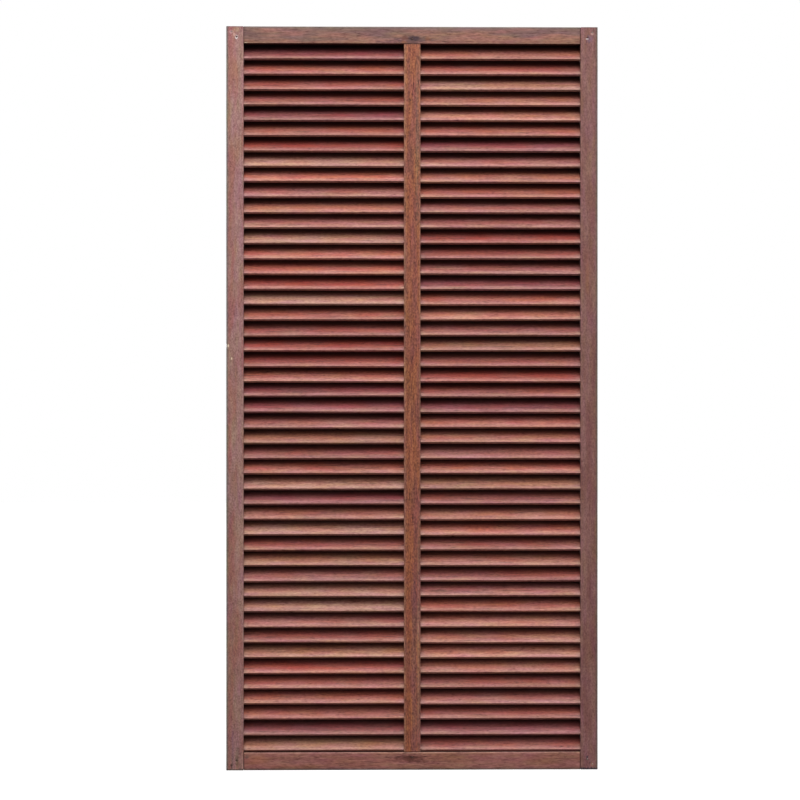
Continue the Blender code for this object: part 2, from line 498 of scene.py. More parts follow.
@dataclass(frozen=True)
class FrameFinish(WoodFinish):
    """The finish of a frame member.

    Attributes:
        size: The member's length, width and depth.
        fleck: The tone of short patches.
        painted_light_falloff: How much lighter its far end is painted than its near one, as a share of the
            tone: painted light falling off along the member.
        slant: How much the wood leans to its drift tone towards the inner edge.
        rim: The tone of the outer arris.
        rim_strength: How strongly that shows.
        bead_highlight: The tone painted on the inner arris as a highlight, where that arris catches the light.
        bead_highlight_strength: How strongly that shows.
        marks: Stains and knocks.
    """

    size: tuple[float, float, float] = (1.8, 0.042, 0.044)
    fleck: Color = (0.220, 0.120, 0.085)
    painted_light_falloff: float = 0.0
    slant: float = 0.0
    rim: Color = (0.150, 0.105, 0.090)
    rim_strength: float = 0.7
    bead_highlight: Color = (0.400, 0.210, 0.165)
    bead_highlight_strength: float = 0.0
    marks: tuple[Mark, ...] = ()

    PATCHES = Streaks(9, 60)
    FLECKS = Streaks(28, 120)
    FLECKED = (0.1, 1.6)  # the noise at which a fleck starts, and is full
    # Where each zone starts and where it is full, in metres from the side or end that it is named for.
    RIM = (0.0080, 0.0010)
    BEAD = (0.0036, 0.0012)
    FRONT = (0.004, 0.001)
    FLANK = (0.003, 0.010)
    END = (0.0030, 0.0008)
    # painted shade: the channel is the inner face behind the front, darkened where the louvres shade it
    CHANNEL_DEPTH = (0.0008, 0.0050)
    CHANNEL_SIDE = (0.0010, 0.0004)
    RAGGED = 0.0004  # how far the grain pulls those edges
    MARK_EDGE = (1.2, 0.4)  # in shares of the mark's reach
    RAGGED_MARK = (0.12, 0.10)  # how far the fibre and the bands pull it, in the same shares
    # How strongly each shows.
    FLECK_STRENGTH = 0.38
    FLANK_STRENGTH = 0.75  # of what the rim's tone leaves out on the flank
    END_STRENGTH = 0.45
    CHANNEL_SHADE_STRENGTH = 0.7

    def lean(self, grain: Grain) -> Signal:
        """Lean to the drift tone in patches and towards the inner edge."""
        return grain.noise(self.PATCHES) + grain.y * (2 * self.slant / self.size[1])

    def wear_and_highlights(self, tree: Principled, grain: Grain, color: Signal) -> Signal:
        """Lay the flecks, the outer arris's tone, a painted highlight along the inner arris, and the marks over
        the tone.

        Args:
            tree: The material's tree.
            grain: The board's grain.
            color: The wood's tone.

        Returns:
            The tone with its flecks, arris tones, painted highlight and marks.
        """
        _, width, depth = self.size
        flecks = tree.smooth(grain.noise(self.FLECKS), *self.FLECKED)
        color = tree.blend(color, self.fleck, self.FLECK_STRENGTH * flecks)
        wander = self.RAGGED * grain.bands
        outer = tree.smooth(grain.y + width / 2 + wander, *self.RIM)
        inner = tree.smooth(width / 2 - grain.y + wander, *self.BEAD)
        front = tree.smooth(grain.z + depth / 2, *self.FRONT)
        flank = tree.smooth(depth / 2 - abs(grain.z), *self.FLANK)
        color = tree.blend(color, self.rim, self.rim_strength * outer * (1 - self.FLANK_STRENGTH * flank))
        # a painted highlight along the front of the inner arris
        color = tree.blend(color, self.bead_highlight, self.bead_highlight_strength * inner * front)
        for mark in self.marks:
            color = tree.blend(color, mark.color, self.spread(tree, grain, mark) * front)
        return color

    def spread(self, tree: Principled, grain: Grain, mark: Mark) -> Signal:
        """Give how strongly a mark covers each place.

        Args:
            tree: The material's tree.
            grain: The board's grain.
            mark: The mark.

        Returns:
            A value from 0 to the mark's strength.
        """
        along = (grain.x - mark.place[0]) / mark.reach[0]
        across = (grain.y - mark.place[1]) / mark.reach[1]
        fiber, bands = self.RAGGED_MARK
        distance = (along * along + across * across) ** 0.5 + fiber * grain.fiber + bands * grain.bands
        return tree.smooth(distance, *self.MARK_EDGE) * mark.strength

    def painted_shade_and_dirt(self, tree: Principled, grain: Grain) -> Signal:
        """Darken the end grain, paint shade on the sides of the channel where the louvres shade them, and paint
        light that falls off along the member's length.

        Args:
            tree: The material's tree.
            grain: The board's grain.

        Returns:
            How much stays of the tone.
        """
        length, width, depth = self.size
        end = tree.smooth(length / 2 - abs(grain.x), *self.END)
        deep = tree.smooth(grain.z + depth / 2, *self.CHANNEL_DEPTH)
        # painted shade on the channel's sides
        channel = deep * tree.smooth(width / 2 - grain.y, *self.CHANNEL_SIDE)
        kept = (1 - self.END_STRENGTH * end) * (1 - self.CHANNEL_SHADE_STRENGTH * channel)
        # painted light: the tone falls off along the member, lighter towards its top
        return kept * (1 + grain.x * (self.painted_light_falloff / length))


RUST_BROWN = (0.16, 0.085, 0.06)


class SteelLook(Enum):
    """How a pin's end has weathered: colour, metallic share and roughness."""

    DULL = ((0.40, 0.29, 0.26), 0.25, 0.45)
    RUSTED = ((0.130, 0.062, 0.052), 0.20, 0.6)

    @cache
    def material(self) -> bpy.types.Material:
        """Make the pin steel once: a hammered, spotted end.

        Returns:
            The material.
        """
        color, metallic, roughness = self.value
        tree = Principled(f"{self.name.lower()}_steel", Metallic=metallic)
        place = tree.node("ShaderNodeTexCoord", output="Object")
        spots = tree.node("ShaderNodeTexNoise", inputs={"Vector": place, "Scale": 900.0, "Detail": 3.0})
        rust = tree.smooth(spots, 0.50, 0.70)
        tree.drive("Base Color", tree.blend(color, RUST_BROWN, 0.5 * rust))
        tree.drive("Roughness", roughness + 0.3 * rust)
        tree.emboss(spots, strength=0.3, distance=0.0002)
        return tree.material


# ---- Boards ----

UP, DOWN = Vector((0, 0, 1)), Vector((0, 0, -1))
RIGHT, LEFT = Vector((1, 0, 0)), Vector((-1, 0, 0))

# A point of a board's section: its Y and Z, its outward normal's Y and Z, and its arris's place in CORNERS,
# which is -1 on a flat face.
SectionPoint = tuple[float, float, float, float, int]
SHARP = math.radians(32)  # an arris sharper than this is shaded as an edge


@dataclass(frozen=True)
class Chip:
    """A small piece broken from a long arris.

    Attributes:
        x: Where it lies along the board.
        length: How long it is.
        depth: How deep it goes.
        corner: Which long arris, as the signs of its Y and Z.
    """

    x: float
    length: float
    depth: float
    corner: tuple[int, int]


@dataclass
class Board:
    """A planed board, lofted from a rounded section.

    Attributes:
        size: Its length, width and thickness.
        arrises: The radius of each long arris, in the order of CORNERS.
        end_ease: How far its ends are eased.
        stations: How many sections it has along its length.
        wander: How far its faces wander inwards from true.
        bow: How far it bows through its thickness.
        seed: What sets its own irregularities.
        chips: The small pieces broken from its arrises.
    """

    size: tuple[float, float, float]
    arrises: tuple[float, float, float, float]
    end_ease: float = 0.0005
    stations: int = 24
    wander: float = 0.0002
    bow: float = 0.0
    seed: float = 0.0
    chips: tuple[Chip, ...] = ()

    CORNERS = ((-1, -1), (1, -1), (1, 1), (-1, 1))
    ARC_STEPS = 3
    FACE_POINTS = (4, 3)  # between two arrises, on the faces square to Z and to Y
    CHIP_CUTS = (-0.5, -0.25, 0, 0.25, 0.5)  # where a chip is cut, in shares of its length
    WANDER_RATES = (9, 55)  # how often the faces wander in a metre, with the grain and across it
    BOW_RATE = 4.5
    EASE_STEP = 0.3  # where an eased end has its middle ring, in shares of the ease
    SEED_STEPS = (3.7, 1.7)  # what sets one board's wander and bow apart from the next one's

    def section(self) -> list[SectionPoint]:
        """Give the section's points, anticlockwise from the grain's end.

        Returns:
            The section's points.
        """
        _, width, thickness = self.size
        points = []
        for index, ((side_y, side_z), radius) in enumerate(zip(self.CORNERS, self.arrises)):
            middle_y, middle_z = side_y * (width / 2 - radius), side_z * (thickness / 2 - radius)
            for step in range(self.ARC_STEPS + 1):
                angle = math.pi * (1 + index / 2) + math.pi / 2 * step / self.ARC_STEPS
                normal = math.cos(angle), math.sin(angle)
                points.append((middle_y + radius * normal[0], middle_z + radius * normal[1], *normal, index))
        return self.with_face_points(points)

    def with_face_points(self, points: list[SectionPoint]) -> list[SectionPoint]:
        """Add the points of the flat faces between the arrises.

        Args:
            points: The arrises' points.

        Returns:
            The whole section.
        """
        per_corner = self.ARC_STEPS + 1
        whole = []
        for index in range(len(self.CORNERS)):
            corner = points[index * per_corner : (index + 1) * per_corner]
            start, end = corner[-1], points[(index + 1) * per_corner % len(points)]
            count = self.FACE_POINTS[index % 2]
            whole += corner
            for step in range(1, count + 1):
                share = step / (count + 1)
                place = [a + (b - a) * share for a, b in zip(start[:2], end[:2])]
                whole.append((*place, start[2], start[3], -1))
        return whole

    def cuts(self) -> list[tuple[float, float]]:
        """Give where the board's sections lie.

        Returns:
            Each section's place along the board and how far it is drawn in.
        """
        half, ease = self.size[0] / 2, self.end_ease
        inner = np.linspace(-half + 2 * ease, half - 2 * ease, self.stations)
        chipped = [chip.x + chip.length * share for chip in self.chips for share in self.CHIP_CUTS]
        middle = sorted({round(float(x), 5) for x in [*inner, *chipped] if abs(x) <= half - 2 * ease})
        step = self.EASE_STEP * ease
        ends = ((half, ease), (half - step, step), (half - ease, 0.0))
        return [*((-x, pull) for x, pull in ends), *((x, 0.0) for x in middle), *reversed(ends)]

    def sunk(self, x: float, point: SectionPoint) -> float:
        """Give how far a point lies inside the true section.

        Args:
            x: The section's place.
            point: The section's point.

        Returns:
            The depth in metres.
        """
        y, z, _, _, corner = point
        along, across = self.WANDER_RATES
        shift = self.seed * self.SEED_STEPS[0]
        place = Vector((x * along + shift, y * across + self.seed, z * across - self.seed))
        depth = self.wander * (0.5 + 0.5 * noise.noise(place))
        for chip in self.chips:
            off = abs(x - chip.x) / (chip.length / 2)
            if off < 1 and corner >= 0 and self.CORNERS[corner] == chip.corner:
                depth += chip.depth * (1 - off * off)
        return depth

    def points(self) -> np.ndarray:
        """Give every vertex, section by section.

        Returns:
            The vertices' places, one to a row.
        """
        section = self.section()
        rows = []
        for x, pull in self.cuts():
            place = Vector((x * self.BOW_RATE, self.seed * self.SEED_STEPS[1], 0.3))
            lift = self.bow * noise.noise(place)
            for point in section:
                y, z, normal_y, normal_z, _ = point
                depth = pull + self.sunk(x, point)
                rows.append((x, y - normal_y * depth, z - normal_z * depth + lift))
        return np.array(rows)

    def mesh(self, name: str) -> bpy.types.Mesh:
        """Build the board's mesh.

        Args:
            name: The mesh's name.

        Returns:
            The mesh.
        """
        points = self.points()
        ring = len(self.section())
        rings = len(points) // ring
        faces: list[tuple[int, ...]] = []
        for row in range(rings - 1):
            for column in range(ring):
                after = (column + 1) % ring
                a, b = row * ring + column, row * ring + after
                faces.append((a, b, b + ring, a + ring))
        faces.append(tuple(reversed(range(ring))))
        faces.append(tuple(range((rings - 1) * ring, rings * ring)))
        made = bpy.data.meshes.new(name)
        made.from_pydata(points.tolist(), [], faces)
        return made


def linked(name: str, data: bpy.types.ID) -> bpy.types.Object:
    """Add an object to the scene.

    Args:
        name: Its name.
        data: Its mesh, light or camera.

    Returns:
        The object.
    """
    made = bpy.data.objects.new(name, data)
    bpy.context.scene.collection.objects.link(made)
    return made


def stamp(mesh: bpy.types.Mesh, name: str, value: float) -> None:
    """Store one value all over a mesh, for its finish to read."""
    layer = mesh.attributes.new(name, "FLOAT", "POINT")
    layer.data.foreach_set("value", np.full(len(mesh.vertices), value, np.float32))


def placed(name: str, mesh: bpy.types.Mesh, place: Matrix) -> bpy.types.Object:
    """Add a mesh to the scene as a piece of the panel.

    Args:
        name: The piece's name.
        mesh: Its mesh.
        place: Its place in the panel's frame.

    Returns:
        The piece.
    """
    made = linked(name, mesh)
    made.matrix_world = place
    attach(made, ROOT)
    return made


def finished(piece: bpy.types.Object, finish: WoodFinish, node: str, seed: float, cast: float) -> None:
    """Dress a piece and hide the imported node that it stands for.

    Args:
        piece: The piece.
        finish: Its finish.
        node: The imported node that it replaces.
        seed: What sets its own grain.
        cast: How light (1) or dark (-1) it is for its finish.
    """
    mesh = piece.data
    stamp(mesh, "seed", seed)
    stamp(mesh, "cast", cast)
    mesh.materials.clear()
    mesh.materials.append(finish.material())
    mesh.shade_smooth()
    mesh.set_sharp_from_angle(angle=SHARP)
    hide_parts(node)
    LOG.info("%s: %d faces, finish %s", piece.name, len(mesh.polygons), finish.name)


def axes_matrix(along: Vector, across: Vector, origin: Vector) -> Matrix:
    """Give the placement whose local X and Y point along and across.

    Args:
        along: Where local X points.
        across: Where local Y points.
        origin: The board's middle.

    Returns:
        The placement.
    """
    through = along.cross(across)
    turn = Matrix((along, across, through)).transposed()
    return Matrix.Translation(origin) @ turn.to_4x4()


# ---- The louvres ----

# A tone drifts to a duller one, with less red and, by a share of its red, more green and blue.
LESS_RED = 0.012
MORE_GREEN = 0.061
MORE_BLUE = 0.067


class LouvreTone(Enum):
    """The tones that a louvre's board comes in: its slot's ending and its heart."""

    TERRACOTTA = ("terracotta", (0.272, 0.054, 0.036))
    DUSTY_ROSE = ("dusty_rose", (0.298, 0.078, 0.060))
    CORAL = ("salmon", (0.342, 0.076, 0.045))
    SALMON = ("salmon", (0.366, 0.107, 0.066))
    BRICK = ("brick", (0.284, 0.037, 0.021))
    MAUVE = ("dusty_rose", (0.223, 0.036, 0.036))
    TAN = ("tan", (0.310, 0.105, 0.056))
    BUFF = ("tan", (0.360, 0.140, 0.092))

    def finish(self) -> LouvreFinish:
        """Give the tone's finish."""
        slot, heart = self.value
        red, green, blue = heart
        drift = (red - LESS_RED, green + MORE_GREEN * red, blue + MORE_BLUE * red)
        return LouvreFinish(f"louvre_{self.name.lower()}", f"slat_{slot}", heart, drift)


# How many boards of each tone are in the stack, before those that stand out are put in.
TONE_COUNTS = {
    LouvreTone.TERRACOTTA: 20,
    LouvreTone.DUSTY_ROSE: 17,
    LouvreTone.CORAL: 15,
    LouvreTone.SALMON: 12,
    LouvreTone.BRICK: 8,
    LouvreTone.MAUVE: 8,
    LouvreTone.TAN: 7,
    LouvreTone.BUFF: 5,
}
STACK_SEED = 1

# The few boards that stand out, by bay and row.
STANDING_OUT = {
    ("left", LouvreTone.BUFF): (8, 32, 36),
    ("left", LouvreTone.TAN): (40,),
    ("left", LouvreTone.CORAL): (14, 43),
    ("left", LouvreTone.BRICK): (21,),
    ("right", LouvreTone.CORAL): (10, 28),
    ("right", LouvreTone.MAUVE): (7, 16),
    ("right", LouvreTone.SALMON): (26, 38),
}


def shuffled_stack() -> list[LouvreTone]:
    """Shuffle the stack of boards that both bays are dealt from.

    Returns:
        The boards' tones, in the stack's order.
    """
    stack = [tone for tone, count in TONE_COUNTS.items() for _ in range(count)]
    random.Random(STACK_SEED).shuffle(stack)
    return stack


@dataclass(frozen=True)
class LouvreShape:
    """What a louvre is planed and fitted to.

    Attributes:
        width: Its width.
        thickness: Its thickness.
        tilt: How far it leans back from level.
        housed: How far each end goes into an upright.
    """

    width: float = 0.051
    thickness: float = 0.007
    tilt: float = math.radians(48)
    housed: float = 0.010


@dataclass
class Louvre:
    """One louvre board, housed at both ends.

    Attributes:
        name: The piece's name.
        node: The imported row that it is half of.
        middle: The middle of its visible length.
        visible: Its visible length.
        shape: What it is planed and fitted to.
        lift: How far it sits above its true height.
        dip: How far it slopes along its length.
        bow: How far it bows through its thickness.
        tone: Its tone.
        seed: What sets its own irregularities.
    """

    name: str
    node: str
    middle: Vector
    visible: float
    shape: LouvreShape
    lift: float
    dip: float
    bow: float
    tone: LouvreTone
    seed: float

    FIT = 0.0002  # the play between an end and its housing
    CHIP_COUNTS = (0, 0, 1, 1, 2, 3)
    CHIP_CORNERS = ((-1, 1), (-1, 1), (-1, -1))
    CHIP_LENGTHS = (0.003, 0.010)
    CHIP_DEPTHS = (0.0002, 0.0016)  # the least, and the most that chance adds
    CHIPPED = 0.48  # how far from the middle a chip may lie, in visible lengths

    def place(self) -> Matrix:
        """Give the board's placement.

        Returns:
            The placement, which leans and dips the board about its middle.
        """
        across = Vector((0, math.cos(self.shape.tilt), math.sin(self.shape.tilt)))
        flat = axes_matrix(RIGHT, across, Vector())
        seat = Matrix.Translation(self.middle + Vector((0, 0, self.lift)))
        return seat @ Matrix.Rotation(self.dip, 4, "Y") @ flat

    def chips(self) -> tuple[Chip, ...]:
        """Give the board's chipped spots: most on the lip, and few of them deep.

        Returns:
            The chips.
        """
        source = random.Random(f"chips {self.name}")
        least, more = self.CHIP_DEPTHS
        found = []
        for _ in range(source.choice(self.CHIP_COUNTS)):
            x = source.uniform(-self.CHIPPED, self.CHIPPED) * self.visible
            corner = source.choice(self.CHIP_CORNERS)
            length = source.uniform(*self.CHIP_LENGTHS)
            found.append(Chip(x, length, least + more * source.random() ** 3, corner))
        return tuple(found)

    def board(self) -> Board:
        """Give the board, its lip more rounded than its back edge.

        Returns:
            The board, with the lengths that are housed.
        """
        return Board(
            size=(self.visible + 2 * self.shape.housed, self.shape.width, self.shape.thickness),
            arrises=(0.0008, 0.0007, 0.0007, 0.0014),
            stations=26,
            wander=0.00025,
            bow=self.bow,
            seed=self.seed,
            chips=self.chips(),
        )

    def build(self) -> None:
        """Build and dress the louvre."""
        piece = placed(self.name, self.board().mesh(self.name), self.place())
        cast = random.Random(f"cast {self.name}").uniform(-1, 1)
        finished(piece, self.tone.finish(), self.node, self.seed, cast)

    def housing(self) -> list[Vector]:
        """Give the space that the board takes in the uprights.

        Returns:
            Its eight corners.
        """
        half = [side / 2 + self.FIT for side in self.board().size]
        place = self.place()
        signs = [(x, y, z) for x in (-1, 1) for y in (-1, 1) for z in (-1, 1)]
        return [place @ Vector([sign * side for sign, side in zip(corner, half)]) for corner in signs]


@dataclass
class LouvreBay:
    """One bay of louvres, left or right of the mullion.

    Attributes:
        side: "left" or "right".
        start: Where its visible width starts.
        end: Where it ends.
        rows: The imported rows' names and middles, from the top.
        stack: The tones of the boards that it is dealt, from the top.
        seed: What sets their seats and irregularities.
        shape: What the louvres are planed and fitted to.
        louvres: The louvres, once they are built.
    """

    side: str
    start: float
    end: float
    rows: Sequence[tuple[str, Vector]]
    stack: Sequence[LouvreTone]
    seed: int
    shape: LouvreShape = LouvreShape()
    louvres: list[Louvre] = field(default_factory=list)

    LIFT_SPREAD = 0.0008
    TILT_SPREAD = math.radians(0.7)
    DIP_SPREAD = math.radians(0.05)
    BOW = 0.0007
    FARTHEST = 1.8  # the most that a board strays, in spreads
    CLOSE_ROWS = 16  # the rows from the top that are seated more truly, so that none lets light through
    LAST_PLAY = 0.1  # the last row's share of the play
    SETTLED = 0.0010  # how far the last row has sunk in its housings

    def build(self) -> None:
        """Build the bay's louvres."""
        source = random.Random(self.seed)
        for row, ((node, middle), tone) in enumerate(zip(self.rows, self.tones()), start=1):
            last = row == len(self.rows)
            play = self.LAST_PLAY if last else min(1.0, row / self.CLOSE_ROWS)
            tilt = self.shape.tilt + self.spread(source) * play * self.TILT_SPREAD
            louvre = Louvre(
                name=f"louvre_{self.side}_{row:02d}",
                node=node,
                middle=Vector(((self.start + self.end) / 2, middle.y, middle.z)),
                visible=self.end - self.start,
                shape=replace(self.shape, tilt=tilt),
                lift=self.spread(source) * play * self.LIFT_SPREAD - last * self.SETTLED,
                dip=self.spread(source) * play * self.DIP_SPREAD,
                bow=play * self.BOW,
                tone=tone,
                seed=source.uniform(0, 90),
            )
            louvre.build()
            self.louvres.append(louvre)
        LOG.info("%s bay: %d louvres", self.side, len(self.louvres))

    def tones(self) -> list[LouvreTone]:
        """Put the boards that stand out in their rows, over those that were dealt.

        Returns:
            The boards' tones, from the top.
        """
        dealt = list(self.stack)
        for (side, tone), rows in STANDING_OUT.items():
            for row in rows if side == self.side else ():
                dealt[row - 1] = tone
        return dealt

    def spread(self, source: random.Random) -> float:
        """Draw a value about 0, mostly within -1 and 1."""
        return max(-self.FARTHEST, min(self.FARTHEST, source.gauss(0, 1)))


# ---- The frame ----

BOX_FACES = ((0, 1, 3, 2), (4, 6, 7, 5), (0, 4, 5, 1), (2, 3, 7, 6), (0, 2, 6, 4), (1, 5, 7, 3))


@dataclass
class Recesses:
    """The spaces that louvres and pins take in the frame, gathered into one solid that is cut from it."""

    corners: list[Sequence[float]] = field(default_factory=list)
    faces: list[tuple[int, ...]] = field(default_factory=list)

    PROUD = 0.002  # how far a pin's recess starts in front of the frame

    def add(self, corners: Iterable[Sequence[float]], faces: Iterable[tuple[int, ...]]) -> None:
        """Add one closed space.

        Args:
            corners: Its corners.
            faces: Its faces, by place among the corners, facing out.
        """
        first = len(self.corners)
        self.corners += corners
        self.faces += [tuple(first + corner for corner in face) for face in faces]

    def add_louvre(self, louvre: Louvre) -> None:
        """Add a louvre's housings."""
        self.add(louvre.housing(), BOX_FACES)

    def add_pin(self, pin: Pin) -> None:
        """Add the sunk ring round a pin's end.

        Args:
            pin: The pin.
        """
        count = pin.SIDES
        ring = pin.radius + pin.CLEARANCE
        corners = [
            (pin.place.x + ring * math.cos(turn), y, pin.place.z + ring * math.sin(turn))
            for y in (pin.place.y - self.PROUD, pin.place.y + pin.SUNK)
            for turn in (2 * math.pi * step / count for step in range(count))
        ]
        steps = [(step, (step + 1) % count) for step in range(count)]
        walls = [(step, step + count, after + count, after) for step, after in steps]
        self.add(corners, [*walls, tuple(range(count)), tuple(range(2 * count - 1, count - 1, -1))])

    def solid(self) -> bpy.types.Object:
        """Make the solid to cut with.

        Returns:
            The solid, which is removed when the frame is cut.
        """
        mesh = bpy.data.meshes.new("recesses")
        mesh.from_pydata([list(corner) for corner in self.corners], [], self.faces)
        return linked("recesses", mesh)


@dataclass
class FrameMember:
    """A stile, a rail or the mullion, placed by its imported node.

    Attributes:
        name: The piece's name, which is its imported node's too.
        along: Where its local X points.
        across: Where its local Y points: away from the panel's outer edge.
        seed: What sets its own irregularities.
        finish: Its finish, which takes its size when it is built.
        outer: The radius of its front and back outer arrises.
        inner: The radius of its inner ones.
        chips: The small pieces broken from its arrises.
    """

    name: str
    along: Vector
    across: Vector
    seed: float
    finish: FrameFinish
    outer: float = 0.0025
    inner: float = 0.0012
    chips: tuple[Chip, ...] = ()

    JOINT = 0.0005  # the gap at a shoulder
    LONG = 1.0  # a member longer than this is built of more sections
    SECTIONS = 40
    LONG_SECTIONS = 60

    def extent(self) -> Box:
        """Give the visible part's box: a rail ends at the stiles, and the mullion at the rails.

        Returns:
            Its lowest and highest corners.
        """
        low, high = (Vector(corner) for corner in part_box(self.name))
        if self.name.startswith("rail"):
            low.x, high.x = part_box("stile_left")[1].x + self.JOINT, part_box("stile_right")[0].x - self.JOINT
        elif self.name == "mullion":
            low.z, high.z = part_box("rail_bottom")[1].z + self.JOINT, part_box("rail_top")[0].z - self.JOINT
        return low, high

    def build(self, cutter: bpy.types.Object) -> None:
        """Build and dress the member.

        Args:
            cutter: What is cut from it.
        """
        low, high = self.extent()
        span = high - low
        size = (abs(span.dot(self.along)), abs(span.dot(self.across)), span.y)
        board = Board(
            size=size,
            arrises=(self.outer, self.inner, self.inner, self.outer),
            end_ease=0.0008,
            stations=self.LONG_SECTIONS if size[0] > self.LONG else self.SECTIONS,
            wander=0.0003,
            seed=self.seed,
            chips=self.chips,
        )
        place = axes_matrix(self.along, self.across, (low + high) / 2)
        piece = placed(self.name, board.mesh(self.name), place)
        self.cut(piece, cutter)
        finished(piece, replace(self.finish, size=size), self.name, self.seed, 0.0)

    def cut(self, piece: bpy.types.Object, cutter: bpy.types.Object) -> None:
        """Cut the louvres' housings and the pins' rings out of the member for good.

        Args:
            piece: The member's piece.
            cutter: What is cut from it.
        """
        modifier = piece.modifiers.new("housings", "BOOLEAN")
        modifier.operation = "DIFFERENCE"
        modifier.object = cutter
        graph = bpy.context.evaluated_depsgraph_get()
        cut_mesh = bpy.data.meshes.new_from_object(piece.evaluated_get(graph))
        piece.modifiers.clear()
        cut_mesh.name = self.name
        piece.data = cut_mesh


STAIN_BLACK = (0.022, 0.020, 0.030)
STAIN_PLUM = (0.100, 0.045, 0.052)
STAIN_ORANGE = (0.330, 0.115, 0.045)
STAIN_SIENNA = (0.190, 0.058, 0.030)
STAIN_DAMSON = (0.045, 0.012, 0.024)
STAIN_UMBER = (0.075, 0.014, 0.005)
DUSTY_PLUM = (0.195, 0.070, 0.064)
STAIN_OLIVE = (0.150, 0.115, 0.065)
PIN_GRIME = (0.090, 0.045, 0.040)
BARE_WOOD = (0.780, 0.580, 0.480)
FILLER = (0.950, 0.880, 0.840)
PALE_OCHRE = (0.400, 0.240, 0.150)
PALE_PINK = (0.600, 0.360, 0.310)
RUST_ORANGE = (0.450, 0.200, 0.120)
GREEN_GREY = (0.105, 0.088, 0.075)
VIOLET = (0.150, 0.075, 0.115)
PALE_EDGE = (0.300, 0.165, 0.120)

STILE_LOOK = GrainLook(
    figure=Streaks(6, 70, 0.035), bands=Streaks(50, 240, 0.045), fiber=Streaks(230, 350, 0.120),
    pores=Streaks(110, 480, 0.20),
)
RAIL_LOOK = GrainLook(
    figure=Streaks(7, 80, 0.038), bands=Streaks(24, 280, 0.072), fiber=Streaks(100, 340, 0.105),
    pores=Streaks(60, 480, 0.32),
)
MULLION_LOOK = GrainLook(
    figure=Streaks(5, 110, 0.060), bands=Streaks(22, 320, 0.125), fiber=Streaks(190, 340, 0.200),
    pores=Streaks(50, 480, 0.35),
)

